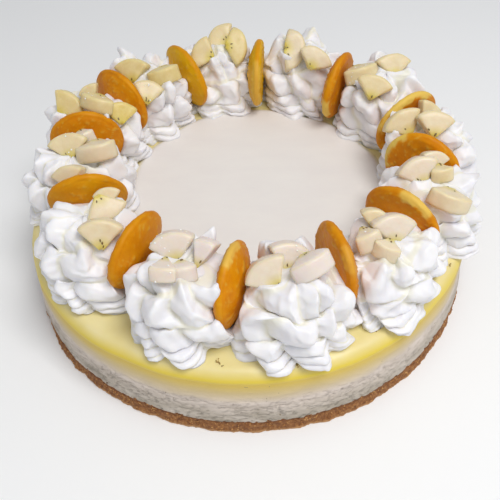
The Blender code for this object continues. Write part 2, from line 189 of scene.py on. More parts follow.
# Chunk: place outwards and aside from the middle of its swirl, height of its middle, slice
# radius, sector angle and thickness. Its angles start from a cut face that looks to the front
# and up: spin turns it in that plane, tip leans it back, roll turns the leaning piece
Chunk = namedtuple("Chunk", "out aside height radius sector thick tip roll spin")
CHUNKS = {
    1: (
        Chunk(-8.0, -3.5, 78.0, 14.0, 95, 8.3, 15, 0, 100),
        Chunk(-8.0, 10.5, 78.0, 13.5, 45, 8.6, 20, -60, 130),
        Chunk(7.5, 0.0, 80.0, 13.5, 50, 6.5, -62, -5, -92),
    ),
    2: (
        Chunk(-9.0, 1.0, 76.0, 14.0, 95, 8.6, 15, 90, -150),
        Chunk(-0.5, 14.5, 77.0, 14.0, 95, 8.3, 22, 30, 60),
    ),
    3: (
        Chunk(1.5, -4.0, 76.5, 14.0, 95, 8.6, 12, 20, 80),
        Chunk(-13.0, 2.0, 77.5, 14.0, 100, 8.6, -60, 10, -90),
        Chunk(-1.0, 15.5, 73.0, 12.5, 85, 7.9, 20, -40, 140),
    ),
    4: (
        Chunk(9.0, 7.0, 76.0, 14.0, 95, 8.6, 15, 0, 45),
        Chunk(-8.0, 3.5, 79.5, 13.5, 90, 7.9, -62, -20, -88),
        Chunk(-16.5, -2.5, 72.0, 12.5, 95, 8.3, 20, 60, 30),
    ),
    5: (
        Chunk(1.0, 7.0, 77.5, 14.0, 95, 8.3, 20, -30, 120),
        Chunk(-15.0, 8.5, 71.0, 14.0, 80, 8.6, 15, 60, 20),
        Chunk(-11.0, -5.5, 75.0, 14.0, 90, 9.0, -58, 15, -95),
    ),
    6: (
        Chunk(5.5, -2.5, 79.5, 13.0, 125, 8.6, 8, 0, 140),
        Chunk(-7.0, 9.0, 78.0, 14.0, 95, 8.6, 15, 0, 155),
        Chunk(-5.5, -11.0, 79.5, 13.5, 125, 8.6, 10, 0, 2),
    ),
    7: (
        Chunk(-7.0, 2.0, 78.5, 13.0, 160, 8.6, 10, 0, -6),
        Chunk(-13.5, -11.5, 79.0, 13.0, 110, 8.3, 15, 0, 60),
    ),
    8: (
        Chunk(-7.0, 12.5, 75.0, 14.0, 95, 8.3, -62, 15, -90),
        Chunk(10.5, 5.5, 76.5, 14.0, 95, 8.6, 15, 30, 60),
        Chunk(-14.0, -5.0, 77.5, 14.0, 95, 8.6, 15, -30, 100),
    ),
    9: (
        Chunk(-15.5, 1.0, 77.5, 14.0, 100, 7.9, 15, 0, 120),
        Chunk(-1.5, 7.5, 77.5, 13.0, 55, 6.8, 20, 40, 20),
        Chunk(-2.5, -7.0, 81.0, 14.0, 90, 7.2, 10, 0, 80),
    ),
    10: (
        Chunk(-7.5, 1.5, 76.5, 14.0, 95, 8.3, 15, 0, 110),
        Chunk(8.5, -12.0, 74.0, 14.0, 95, 7.9, -58, -20, -90),
    ),
    11: (
        Chunk(-0.5, 1.5, 77.0, 14.0, 95, 8.3, 20, 20, 70),
        Chunk(-4.5, -10.0, 75.5, 12.0, 60, 8.3, -60, 25, -95),
    ),
    12: (
        Chunk(-2.5, -11.5, 76.5, 14.0, 95, 8.3, 15, 0, 125),
        Chunk(-9.5, -0.5, 76.5, 13.5, 85, 8.3, 20, 30, 50),
        Chunk(2.0, 5.5, 81.0, 13.5, 90, 8.3, -68, 28, -90),
    ),
}

# Lean of the chunks' cut faces, back from facing upwards to facing the front, in degrees
FACING = 40.0

# Share of a slice's radius between the slice's middle and the middle of a chunk cut from it
CHUNK_MIDDLE = 0.55

# Chunks with droplets of juice: swirl and letter
WET_CHUNKS = ((1, "c"), (1, "a"), (3, "a"), (4, "b"), (5, "b"), (8, "a"), (11, "b"), (12, "b"))

# How yellow the banana is on each swirl, from 0 to 1
RIPENESS = (0.15, 0.35, 0.40, 0.80, 0.65, 0.65, 0.50, 0.60, 0.50, 0.40, 0.35, 0.10)

# Smaller chunks between the others
SMALL_CHUNKS = {
    1: (Chunk(3.5, 5.5, 76.5, 10.0, 85, 7.5, -60, 5, -88),),
    2: (Chunk(-14.0, -6.0, 76.0, 9.5, 90, 7.0, 15, 40, 60),),
    3: (Chunk(-5.0, -9.0, 77.5, 10.0, 85, 7.0, -55, 20, -90),),
    4: (Chunk(1.0, -3.0, 80.0, 9.5, 80, 7.0, 20, 0, 120),),
    10: (
        Chunk(-1.5, 10.0, 77.5, 9.5, 90, 7.0, 15, 30, 50),
        Chunk(3.0, 1.5, 77.0, 9.0, 80, 7.0, -55, 10, -90),
    ),
    11: (
        Chunk(-9.5, 0.0, 78.0, 9.0, 90, 7.0, 20, 0, 80),
        Chunk(4.5, -8.5, 74.5, 9.5, 85, 7.0, -50, -20, -100),
    ),
}

# Crumbs fallen on the pudding: direction, distance from the axis and half width of the patch
FALLEN = (
    (-118.5, 101.5, 1.1),
    (-119.6, 103.5, 0.8),
    (-98.3, 104.8, 1.1),
    (-97.4, 106.6, 0.9),
    (-80.5, 109.5, 0.7),
    (-59.1, 105.5, 1.2),
    (-30.0, 108.5, 0.8),
    (20.0, 109.0, 1.1),
    (95.0, 110.0, 1.0),
    (160.0, 109.0, 1.1),
)

# Camera: height of its view in degrees, roll in degrees and distance from the middle of the
# crust's underside. Then the focal length and the middle of the view, in pixels of a square
# picture
CAMERA_ELEVATION = 45.7
CAMERA_ROLL = -2.2
CAMERA_DISTANCE = 0.388
FOCAL_PIXELS = 679
MIDDLE_PIXELS = (249.8, 251.6)
PICTURE_PIXELS = 500
SENSOR_WIDTH = 36.0

# Lamp: name, place, size and power. All of them look at the origin
LAMPS = (
    ("key", (0.24, -0.32, 0.88), 0.40, 5.3),
    ("fill", (0.2, -0.88, 0.40), 0.5, 0.4),
)
SKY_COLOUR = (0.95, 0.97, 1.0, 1.0)
SKY_STRENGTH = 0.44
FLOOR_COLOUR = (0.93, 0.93, 0.93, 1.0)
FLOOR_HALF = 6.0


def closed_rings(rows, columns):
    """Faces of a stack of rings that closes in one point below and one above.

    The points are the lower pole, the rings from the bottom up, then the upper pole.
    """
    faces = []
    for row in range(rows - 1):
        low = 1 + row * columns
        high = low + columns
        for i in range(columns):
            j = (i + 1) % columns
            faces.append((low + i, low + j, high + j, high + i))
    last = 1 + (rows - 1) * columns
    top = last + columns
    for i in range(columns):
        j = (i + 1) % columns
        faces.append((0, 1 + j, 1 + i))
        faces.append((top, last + i, last + j))
    return faces


def make_piece(name, points, faces, material, replaced, marks=None):
    """Turn points and faces into one finished piece that rides on the cake."""
    mesh = bpy.data.meshes.new(name)
    mesh.from_pydata(np.asarray(points).tolist(), [], faces)
    mesh.update()
    for mark, values in (marks or {}).items():
        layer = mesh.attributes.new(mark, "FLOAT", "POINT")
        layer.data.foreach_set("value", np.asarray(values, dtype=np.float32))
    mesh.materials.append(material)
    mesh.shade_smooth()
    piece = bpy.data.objects.new(name, mesh)
    bpy.context.scene.collection.objects.link(piece)
    declare(piece, replaced)
    return piece


def declare(piece, replaced):
    """Hang a piece on the cake's body and hide the nodes that it stands for."""
    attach(piece, BODY)
    if replaced:
        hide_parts(*replaced)


def smooth_step(low, high, value):
    """Share from 0 to 1 as the value passes from the first bound to the second."""
    share = np.clip((value - low) / (high - low), 0.0, 1.0)
    return share * share * (3 - 2 * share)


def ripple(points, size, seed, waves=7, spread=2.65):
    """Smooth uneven field about zero, as wide as the size, from a few crossed waves."""
    rng = np.random.default_rng(seed)
    total = np.zeros(len(points))
    for _ in range(waves):
        direction = rng.normal(size=3)
        direction *= 2 * math.pi / (size * (0.7 + 0.8 * rng.random())) / np.linalg.norm(direction)
        total += np.sin(points @ direction + rng.random() * 2 * math.pi)
    return total / spread


def grain(points, size, octaves=3):
    """Fractal field about zero whose largest spots are about as wide as the size."""
    spots = (Vector(point) for point in (points / size).tolist())
    values = (noise.fractal(spot, 1.0, 2.0, octaves) for spot in spots)
    return np.fromiter(values, dtype=float, count=len(points))


def hold_inside(points):
    """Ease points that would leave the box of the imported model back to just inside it."""
    low = np.array(CAD_BOX[0]) + BOX_MARGIN
    high = np.array(CAD_BOX[1]) - BOX_MARGIN
    soft = 3.0 * MM
    over = points - (high - soft)
    points = np.where(over > 0, high - soft * np.exp(-np.maximum(over, 0) / soft), points)
    under = (low + soft) - points
    under[:, 2] = 0.0
    return np.where(under > 0, low + soft * np.exp(-np.maximum(under, 0) / soft), points)


def body_swell(angle):
    """The hand-made body is not quite round: its radius drifts by under a millimetre."""
    return (0.45 * np.sin(2 * angle + 0.6) + 0.30 * np.sin(5 * angle + 2.0)) * MM


def turned_layer(name, profile, segments, relief, material, replaced, centre=(0, 0)):
    """Turn a profile of radius and height, with relief added along the radius."""
    angle = np.arange(segments) * 2 * math.pi / segments
    points = [(centre[0], centre[1], profile[0][1])]
    for radius, z in profile:
        reach = radius + relief(angle, np.full(segments, z), radius)
        ring = np.stack([
            centre[0] + reach * np.cos(angle),
            centre[1] + reach * np.sin(angle),
            np.full(segments, z),
        ], axis=1)
        points.extend(ring)
    points.append((centre[0], centre[1], profile[-1][1]))
    faces = closed_rings(len(profile), segments)
    make_piece(name, np.array(points), faces, material, replaced)


def new_material(name):
    """A node material whose tree holds the shader and object coordinates."""
    material = bpy.data.materials.new(name)
    material.use_nodes = True
    tree = material.node_tree
    shader = tree.nodes["Principled BSDF"]
    place = tree.nodes.new("ShaderNodeTexCoord")
    return material, tree, shader, place.outputs["Object"]


def set_finish(tree, shader, colour, numbers):
    """Link the shader's colour and set the numbers that are the same all over."""
    tree.links.new(colour, shader.inputs["Base Color"])
    for name, number in numbers.items():
        shader.inputs[name].default_value = number


def noise_of(tree, place, scale, detail=3.0, rough=0.5, stretch=None):
    """Noise over the surface, drawn together along the axes that a stretch gives more to."""
    if stretch:
        mapping = tree.nodes.new("ShaderNodeMapping")
        mapping.inputs["Scale"].default_value = stretch
        tree.links.new(place, mapping.inputs["Vector"])
        place = mapping.outputs["Vector"]
    texture = tree.nodes.new("ShaderNodeTexNoise")
    for name, number in (("Scale", scale), ("Detail", detail), ("Roughness", rough)):
        texture.inputs[name].default_value = number
    tree.links.new(place, texture.inputs["Vector"])
    return texture.outputs["Fac"]


def ramp_of(tree, source, stops):
    """Colour ramp over a value, from pairs of place and colour."""
    ramp = tree.nodes.new("ShaderNodeValToRGB")
    elements = ramp.color_ramp.elements
    while len(elements) < len(stops):
        elements.new(0.5)
    for element, (place, colour) in zip(elements, stops):
        element.position = place
        element.color = (*colour, 1.0)
    tree.links.new(source, ramp.inputs["Fac"])
    return ramp.outputs["Color"]


def range_of(tree, source, low, high, most=1.0):
    """Value that rises from 0 to the most while the source passes from low to high."""
    scaled = tree.nodes.new("ShaderNodeMapRange")
    for name, number in (("From Min", low), ("From Max", high), ("To Max", most)):
        scaled.inputs[name].default_value = number
    tree.links.new(source, scaled.inputs["Value"])
    return scaled.outputs["Result"]


def socket_of(sockets, name, kind):
    """The socket of this name and type, on a node with several sockets of the name."""
    return next(item for item in sockets if item.name == name and item.type == kind)


def mix_of(tree, share, first, second):
    """Mix of two colours. Each is a socket or a colour."""
    mix = tree.nodes.new("ShaderNodeMix")
    mix.data_type = "RGBA"
    for name, source in (("A", first), ("B", second)):
        socket = socket_of(mix.inputs, name, "RGBA")
        if isinstance(source, bpy.types.NodeSocket):
            tree.links.new(source, socket)
        else:
            socket.default_value = (*source, 1.0)
    tree.links.new(share, socket_of(mix.inputs, "Factor", "VALUE"))
    return socket_of(mix.outputs, "Result", "RGBA")


def blend_of(tree, source, low, high, first, second, most=1.0):
    """Colour that passes from the first to the second while the source does from low to high."""
    return mix_of(tree, range_of(tree, source, low, high, most), first, second)


def bump_of(tree, shader, height, distance, strength):
    """Fine relief that only the light sees."""
    bump = tree.nodes.new("ShaderNodeBump")
    bump.inputs["Strength"].default_value = strength
    bump.inputs["Distance"].default_value = distance
    tree.links.new(height, bump.inputs["Height"])
    tree.links.new(bump.outputs["Normal"], shader.inputs["Normal"])


def height_of(tree, place):
    """Height above the crust's underside."""
    split = tree.nodes.new("ShaderNodeSeparateXYZ")
    tree.links.new(place, split.inputs["Vector"])
    return split.outputs["Z"]


def mark_of(tree, name):
    """A value that the mesh keeps at each of its points."""
    mark = tree.nodes.new("ShaderNodeAttribute")
    mark.attribute_name = name
    return mark.outputs["Fac"]


def cream_material(settings):
    material, tree, shader, place = new_material("piped_cream")
    soft = noise_of(tree, place, 120.0, 2.0)
    tint = blend_of(tree, soft, 0.3, 0.7, settings.cream, (0.83, 0.815, 0.845))
    # Painted shade and bounce light: creases and the undersides of lips are mixed towards a
    # yellowish grey
    colour = mix_of(tree, mark_of(tree, "crease_bounce_shade"), tint, (0.78, 0.73, 0.42))
    set_finish(tree, shader, colour, {
        "Roughness": 0.45,
        "Subsurface Weight": 0.35,
        "Subsurface Radius": (1.0, 0.9, 0.75),
        "Subsurface Scale": 4.0 * MM,
    })
    bump_of(tree, shader, noise_of(tree, place, 900.0), 0.15 * MM, 0.25)
    return material


def heading(degrees):
    """Level direction of length one."""
    turn = math.radians(degrees)
    return Vector((math.cos(turn), math.sin(turn), 0.0))


def swirl_direction(index):
    """Direction of the middle between the wafers on both sides of a swirl, in degrees."""
    nearer = WAFERS[index - 1].direction
    further = WAFERS[index].direction if index < len(WAFERS) else WAFERS[0].direction - 360
    return (nearer + further) / 2


def wafer_frame(wafer):
    """Place and turn of a wafer, whose own axis is its Z axis."""
    centre = wafer.reach * MM * heading(wafer.direction)
    centre.z = wafer.height * MM
    facing = math.radians(wafer.direction + 90 + wafer.turn)
    lean = math.radians(wafer.lean)
    normal = Vector((
        math.cos(lean) * math.cos(facing),
        math.cos(lean) * math.sin(facing),
        math.sin(lean),
    ))
    turn = Vector((0.0, 0.0, 1.0)).rotation_difference(normal).to_matrix().to_4x4()
    return Matrix.Translation(centre) @ turn


def chunk_frame(index, chunk):
    """Place and turn of a chunk, whose cut faces look along its Z axis."""
    direction = swirl_direction(index)
    centre = (SWIRLS[index - 1].reach + chunk.out) * MM * heading(direction)
    centre += chunk.aside * MM * heading(direction + 90)
    centre.z = chunk.height * MM
    turn = Matrix.Rotation(math.radians(FACING), 4, "X")
    turn @= Matrix.Rotation(math.radians(chunk.roll), 4, "Z")
    turn @= Matrix.Rotation(math.radians(chunk.tip), 4, "X")
    turn @= Matrix.Rotation(math.radians(chunk.spin), 4, "Z")
    return Matrix.Translation(centre) @ turn


def apply_matrix(matrix, points):
    """Points moved and turned by a matrix."""
    turn = np.array(matrix.to_3x3())
    return points @ turn.T + np.array(matrix.translation)


def soften(grid, rounds):
    """Even out a closed grid of points with its neighbours."""
    for _ in range(rounds):
        around = (np.roll(grid, 1, axis=1) + np.roll(grid, -1, axis=1)) / 2
        grid = (grid + around) / 2
        grid[1:-1] = (grid[1:-1] + (grid[:-2] + grid[2:]) / 2) / 2
    return grid


def folded_points(index, swirl, swirl_rise):
    """Points of a swirl about its foot, in metres, and the share of painted shade and yellow
    bounce light in its creases.

    Petals from a star-shaped nozzle twist up the swirl and are folded over in a helix, so that
    each turn's lips hang over the turn below. The share v of the height runs from the foot up,
    and the angle u runs round. All lengths are in millimetres until the last line.
    """
    v = np.linspace(0.0, 1.0, SWIRL_ROWS)
    count = np.interp(v, *np.array(FOLD_TURNS).T)
    count = np.pad(count, 12, mode="reflect", reflect_type="odd")
    count = np.convolve(count, np.ones(25) / 25, "valid")
    height = swirl_rise * swirl.height
    tall = height / np.maximum(np.gradient(count, v), 1.0)
    v, count, tall = v[:, None], count[:, None], tall[:, None]
    u = (np.arange(SWIRL_COLUMNS) * 2 * math.pi / SWIRL_COLUMNS)[None, :]
    phase = 0.7 * index
    mean = 0.5 * (swirl.length + swirl.width)
    low = smooth_step(0.40, 0.20, v)

    fold = 2 * math.pi * count - u
    fold = fold + 0.75 * np.sin(2 * u + 4 * v + phase) + 0.45 * np.sin(4 * u - 5 * v + 2.3 * phase)
    around = u + 0.20 * np.sin(2 * u + 1.9 * phase) + 0.13 * np.sin(3 * u + 5 * v + phase)
    around = around + v + 0.10 * (1 - low) * np.sin(fold + phase)
    place = 0.5 * swirl.petals * around + 40 * math.pi
    share = np.mod(place / math.pi, 1.0) ** (1.5 - 0.3 * low)
    petal = np.clip(np.sin(math.pi * share), 0, 1) ** (0.70 - 0.15 * low)
    fold = fold + 1.5 * low * petal
    power = 0.92 + 0.42 * np.sin(3 * u + 4 * v + 1.7 * phase)
    power = power + 0.36 * np.sin(2 * u - 3 * v + 0.9 * phase)
    power = np.clip(power, 0.12, 1.7) * (1 - 0.25 * low) * swirl.folding
    ridge = np.exp(-((share - 0.62) / 0.09) ** 2)
    lip = np.cos(fold - 0.5)
    roll = np.clip(np.cos(fold - 1.1), 0, 1) ** 6

    dome = np.clip(1 - v ** 4.5, 0, 1) ** 0.5 * (1 - 0.11 * v)
    flare = 1 + 0.07 * smooth_step(0.32, 0.06, v)
    closing = np.clip(dome * 2.0, 0, 1)
    reach = mean * dome * flare * (0.89 + 0.035 * np.sin(2 * u + phase))
    reach = reach + ((0.8 + 0.17 * tall) * power * lip + 0.6) * closing
    reach = reach + (0.25 + 0.05 * tall) * roll * closing
    reach = reach * (1 - (0.20 + 0.08 * lip * (1 - low) + 0.10 * low) * (1 - petal))
    reach = reach + 0.55 * ridge * closing

    ends = np.clip(v / 0.06, 0, 1) * np.clip((1 - v) / 0.1, 0, 1)
    z = height * v + 0.28 * tall * power * np.sin(fold) * ends
    z = z - 0.15 * tall * petal * np.clip(lip, 0, 1) ** 1.5
    z = z + 3.2 * petal ** 2 * smooth_step(0.60, 0.86, v) * smooth_step(1.0, 0.9, v)
    turn = math.radians(swirl.start) + u
    x = reach * np.cos(turn) * swirl.length / mean
    y = reach * np.sin(turn) * swirl.width / mean
    for direction, level, rise in CURLS.get(index, ()):
        away = ((np.degrees(turn) - direction + 180) % 360 - 180) / 15.0
        tip = np.exp(-np.sqrt(away ** 2 + ((v - level) / 0.07) ** 2) ** 1.6)
        z = z + rise * tip
        x = x + 0.35 * rise * tip * np.cos(turn)
        y = y + 0.35 * rise * tip * np.sin(turn)

    body = soften(np.stack([x, y, z], axis=2), 2).reshape(-1, 3)
    # Painted shade and bounce light: the mask is high in the gaps between petals and under the
    # lips
    crease_bounce_shade = 0.38 * np.maximum(smooth_step(0.35, 0.0, petal), smooth_step(-0.6, -1.0, lip))
    crease_bounce_shade = np.concatenate([[1.0], crease_bounce_shade.reshape(-1), [0.0]])
    first = np.array([0.0, 0.0, 0.0])
    last = body[-SWIRL_COLUMNS:].mean(axis=0)
    return np.concatenate([[first], body, [last]]) * MM, crease_bounce_shade


def clear_wafers(points, middle, direction):
    """Press cream that would run through a wafer back to the swirl's side of it."""
    for wafer in WAFERS:
        away = (wafer.direction - direction + 180) % 360 - 180
        if abs(away) > 45:
            continue
        frame = wafer_frame(wafer)
        local = apply_matrix(frame.inverted(), points)
        centre = apply_matrix(frame.inverted(), np.array([middle]))[0]
        side = 1.0 if centre[2] > 0 else -1.0

        # The cream starts a little inside the wafer's face, and draws back past its rim
        reach = np.hypot(local[:, 0], local[:, 1]) / WAFER_RADIUS
        half = WAFER_THICKNESS / 2
        rim = np.clip(reach, 0, 1)
        if side > 0:
            face = half * (0.85 - 0.70 * rim ** 2.4)
        else:
            face = half * (0.82 - 0.42 * smooth_step(0.85, 1.0, rim))
        face -= 9.0 * half * np.clip(reach - 1, 0, None)
        inside = (reach < 1.5) & (local[:, 2] * side < face)
        local[inside, 2] = side * face[inside]

        # Next to the wafer it stays low, and the limit rises with the gap and past the rim
        gap = np.clip(np.abs(local[:, 2]) - half, 0, None)
        points = apply_matrix(frame, local)
        cap = (wafer.height + 3.0 + 60.0 * np.clip(reach - 0.9, 0, None)) * MM
        cap = cap + 1.3 * np.clip(gap - 3.0 * MM, 0, None)
        high = (reach < 1.5) & (points[:, 2] > cap)
        points[high, 2] = cap[high] + 0.3 * (points[high, 2] - cap[high])
    return points


def seat_chunks(points, index):
    """Lower the cream under each banana chunk so that the chunk rests in a hollow."""
    reach = 15.0
    for near in (index - 1, index, index % len(SWIRLS) + 1):
        for chunk in CHUNKS.get(near, ()):
            centre = np.array(chunk_frame(near, chunk).translation)
            away = np.hypot(points[:, 0] - centre[0], points[:, 1] - centre[1]) / MM
            rise = 4.0 * smooth_step(6.0, 11.0, away) + 1.6 * np.clip(away - 9.5, 0, None)
            level = centre[2] + (rise - 1.0) * MM
            under = away < reach
            points[under, 2] = np.minimum(points[under, 2], level[under])
    return points


def build_swirl(index, swirl, material, swirl_rise):
    """One swirl of cream, pressed against its wafers and hollowed under its banana."""
    direction = swirl_direction(index) + SWIRL_SHIFTS.get(index, 0.0)
    foot = swirl.reach * MM * heading(direction)
    foot.z = PUDDING_TOP
    middle = tuple(foot + Vector((0, 0, 15 * MM)))
    place = Matrix.Translation(foot) @ Matrix.Rotation(math.radians(direction), 4, "Z")
    points, crease_bounce_shade = folded_points(index, swirl, swirl_rise)
    faces = closed_rings(SWIRL_ROWS, SWIRL_COLUMNS)
    for axis in range(3):
        points[:, axis] += 0.9 * MM * ripple(points, 16 * MM, 10 * index + axis)
        points[:, axis] += 0.28 * MM * ripple(points, 5 * MM, 500 + 10 * index + axis)
    points = apply_matrix(place, points)
    points = clear_wafers(points, middle, direction)
    points = seat_chunks(points, index)
    points[:, 2] = np.maximum(points[:, 2], PUDDING_TOP - 2.5 * MM)
    points = hold_inside(points)
    make_piece(
        f"piped_swirl_{index:02d}", points, faces, material,
        [f"swirl_{index:02d}"], {"crease_bounce_shade": crease_bounce_shade},
    )


def wafer_profile(half):
    """Share of the radius and height of each row: flat underside, rounded edge, domed top."""
    rows = []
    for share in np.linspace(0.03, 0.90, 20):
        rows.append((share * 0.985, -half + 0.25 * MM * share ** 2))
    for degrees in np.linspace(-80, 80, 11):
        turn = math.radians(degrees)
        rise = 0.30 + 0.22 * math.sin(turn)
        rows.append((0.90 + 0.10 * math.cos(turn), -half + rise * WAFER_THICKNESS))
    for share in np.linspace(0.90, 0.03, 24):
        rise = 0.52 + 0.48 * (1 - (share / 0.93) ** 2.4)
        rows.append((share, -half + rise * WAFER_THICKNESS))
    return rows


def build_wafer(index, wafer, material, blister):
    """A wafer with small blisters, standing between its two swirls."""
    half = WAFER_THICKNESS / 2
    rows = wafer_profile(half)
    angle = np.arange(WAFER_POINTS) * 2 * math.pi / WAFER_POINTS
    uneven = 1 + 0.012 * np.sin(3 * angle + index) + 0.008 * np.sin(5 * angle)
    points = [np.array([[0.0, 0.0, -half]])]
    for share, z in rows:
        reach = share * uneven * WAFER_RADIUS
        ring = (reach * np.cos(angle), reach * np.sin(angle), np.full(WAFER_POINTS, z))
        points.append(np.stack(ring, axis=1))
    points.append(np.array([[0.0, 0.0, half]]))
    points = np.concatenate(points)
    rims = np.repeat([share for share, _ in rows], WAFER_POINTS)
    rims = np.concatenate([[0.0], rims, [0.0]])
    side = np.where(np.arange(len(rows)) / (len(rows) - 1) > 0.5, 1.0, -1.0)
    side = np.concatenate([[-1.0], np.repeat(side, WAFER_POINTS), [1.0]])
    shift = np.array([0.05 * index, 0.0, 0.0])
    waves = grain(points + shift, 8 * MM, 3)
    blisters = np.clip(grain(points + shift, 2.0 * MM, 2) - 0.25, 0, 1)
    points[:, 2] += side * (0.30 * MM * waves + blister * blisters)
    points[:, :2] *= (1 + 0.006 * grain(points + shift, 3 * MM, 3))[:, None]
    points = apply_matrix(wafer_frame(wafer), points)
    strength, middle, spread = PALE_RIMS.get(index, (0.0, 90, 40))
    outward = heading(wafer.direction)
    out = points[:, 0] * outward.x + points[:, 1] * outward.y - wafer.reach * MM
    around = np.degrees(np.arctan2(points[:, 2] - wafer.height * MM, out))
    away = np.abs((around - middle + 180) % 360 - 180) / spread
    patches = smooth_step(1.15, 0.75, away + 0.5 * grain(points, 7 * MM, 3))
    edge = smooth_step(0.84, 0.90, rims + 0.10 * grain(points + 0.4, 5 * MM, 3))
    marks = {
        "rim": rims,
        "blister": np.clip(blisters * 3.0, 0, 1),
        "golden": np.full(len(points), GOLDEN_WAFERS.get(index, 0.0)),
        "pale": strength * patches * edge,
    }
    make_piece(
        f"round_wafer_{index:02d}", points, closed_rings(len(rows), WAFER_POINTS), material,
        [f"wafer_{index:02d}"], marks,
    )


def wafer_material(settings):
    material, tree, shader, place = new_material("baked_wafer")
    mottle = noise_of(tree, place, 110.0, 4.0, 0.6)
    broad = range_of(tree, noise_of(tree, place, 55.0, 2.0), 0.35, 0.65)
    face = ramp_of(tree, mottle, (
        (0.30, (0.60, 0.185, 0.001)),
        (0.50, settings.wafer),
        (0.70, (0.78, 0.340, 0.003)),
    ))
    face = blend_of(tree, broad, 0.0, 1.0, face, (0.57, 0.155, 0.001), 0.5)
    golden = mix_of(tree, broad, (0.72, 0.38, 0.002), (0.80, 0.50, 0.005))
    face = blend_of(tree, mark_of(tree, "golden"), 0.0, 1.0, face, golden, 0.85)
    light = blend_of(tree, mark_of(tree, "blister"), 0.0, 1.0, face, (0.72, 0.42, 0.05), 0.6)
    edge = blend_of(tree, mottle, 0.35, 0.7, (0.60, 0.21, 0.001), (0.72, 0.31, 0.003))
    baked = blend_of(tree, mark_of(tree, "rim"), 0.95, 0.995, light, edge, 0.8)
    colour = mix_of(tree, mark_of(tree, "pale"), baked, (0.82, 0.60, 0.13))
    set_finish(tree, shader, colour, {"Roughness": 0.45, "Specular IOR Level": 0.15})
    bump_of(tree, shader, noise_of(tree, place, 700.0, 4.0, 0.6), 0.25 * MM, 0.5)
    return material


def chunk_shape(radius, sector, thick):
    """Points, faces, core and edge marks of a piece of slice with soft corners."""
    size = (8, 12, 6)
    angle = math.radians(sector)
    shape = bmesh.new()
    corners = {}

    def corner(i, j, k):
        if (i, j, k) not in corners:
            reach = radius * (0.07 + 0.93 * i / size[0])
            turn = angle * (j / size[1] - 0.5)
            z = thick * (k / size[2] - 0.5)
            corners[i, j, k] = shape.verts.new((reach * math.cos(turn), reach * math.sin(turn), z))
        return corners[i, j, k]

    for axis in range(3):
        first, second = (axis + 1) % 3, (axis + 2) % 3
        for level in (0, size[axis]):
            for m in range(size[first]):
                for n in range(size[second]):
                    ring = []
                    for dm, dn in ((0, 0), (1, 0), (1, 1), (0, 1)):
                        place = [0, 0, 0]
                        place[axis], place[first], place[second] = level, m + dm, n + dn
                        ring.append(corner(*place))
                    shape.faces.new(ring if level else ring[::-1])
    sharp = np.array([v.co[:] for v in shape.verts])
    all_ways = {"use_axis_x": True, "use_axis_y": True, "use_axis_z": True}
    for _ in range(2):
        bmesh.ops.smooth_vert(shape, verts=shape.verts[:], factor=0.5, **all_ways)
    shape.verts.index_update()
    points = np.array([v.co[:] for v in shape.verts])
    faces = [tuple(v.index for v in f.verts) for f in shape.faces]
    shape.free()
    edge = np.clip(np.linalg.norm(points - sharp, axis=1) / (0.45 * MM), 0, 1)
    core = np.hypot(points[:, 0], points[:, 1]) / radius
    points[:, 0] -= CHUNK_MIDDLE * radius
    points[:, 2] *= 0.5 * thick / np.abs(points[:, 2]).max()
    return points, faces, core, edge


def seed_shapes(radius, sector, thick, rng):
    """Small dark seeds near the core on both cut faces, as points and faces."""
    points, faces = [], []
    half = thick / 2
    for side in (-1, 1):
        for _ in range(rng.choice((1, 2, 2, 3))):
            turn = math.radians(rng.uniform(-0.42, 0.42) * sector)
            reach = rng.uniform(0.16, 0.40) * radius
            long, wide = rng.uniform(0.60, 0.95) * MM, rng.uniform(0.32, 0.48) * MM
            across, aside = reach * math.cos(turn), reach * math.sin(turn)
            centre = Vector((across - CHUNK_MIDDLE * radius, aside, side * half * 0.985))
            first = len(points)
            for ring, lift in ((0.6, -0.14 * MM), (1.0, 0.0), (0.6, 0.14 * MM)):
                for i in range(8):
                    angle = 2 * math.pi * i / 8
                    spot = Vector((long * math.cos(angle), wide * math.sin(angle), 0.0)) * ring
                    spot.z = lift
                    spot.rotate(Euler((0, 0, turn)))
                    points.append(centre + spot)
            for row in range(2):
                for i in range(8):
                    j = (i + 1) % 8
                    low, high = first + 8 * row, first + 8 * row + 8
                    faces.append((low + i, low + j, high + j, high + i))
            faces.append(tuple(first + i for i in reversed(range(8))))
            faces.append(tuple(first + 16 + i for i in range(8)))
    return np.array(points), faces


def build_chunk(index, letter, chunk, materials, node):
    """One banana chunk with its seeds, pressed into the top of its swirl."""
    radius, thick = chunk.radius * MM, chunk.thick * MM
    points, faces, core, edge = chunk_shape(radius, chunk.sector, thick)
    rng = random.Random(31 * index + ord(letter))
    seeds, seed_faces = seed_shapes(radius, chunk.sector, thick, rng)
    count, body_faces = len(points), len(faces)
    points = np.concatenate([points, seeds])
    faces = faces + [tuple(count + i for i in face) for face in seed_faces]
    spare = np.zeros(len(points) - count)
    shift = np.array([0.03 * index, 0.01 * ord(letter), 0.0])
    for axis in range(3):
        points[:, axis] += 0.45 * MM * grain(points + shift + 0.07 * axis, 9 * MM, 2)
    points = hold_inside(apply_matrix(chunk_frame(index, chunk), points))
    name = f"banana_chunk_{index:02d}_{letter}"
    ripe = np.clip(RIPENESS[index - 1] + rng.uniform(-0.2, 0.2), 0, 1)
    marks = {
        "core": np.concatenate([core, spare]),
        "edge": np.concatenate([edge, spare]),
        "ripe": np.full(len(points), ripe),
    }
    replaced = [f"banana_{index:02d}_{letter}"] if node else []
    piece = make_piece(name, points, faces, materials[0], replaced, marks)
    piece.data.materials.append(materials[1])
    slots = np.zeros(len(faces), dtype=np.int32)
    slots[body_faces:] = 1
    piece.data.polygons.foreach_set("material_index", slots)


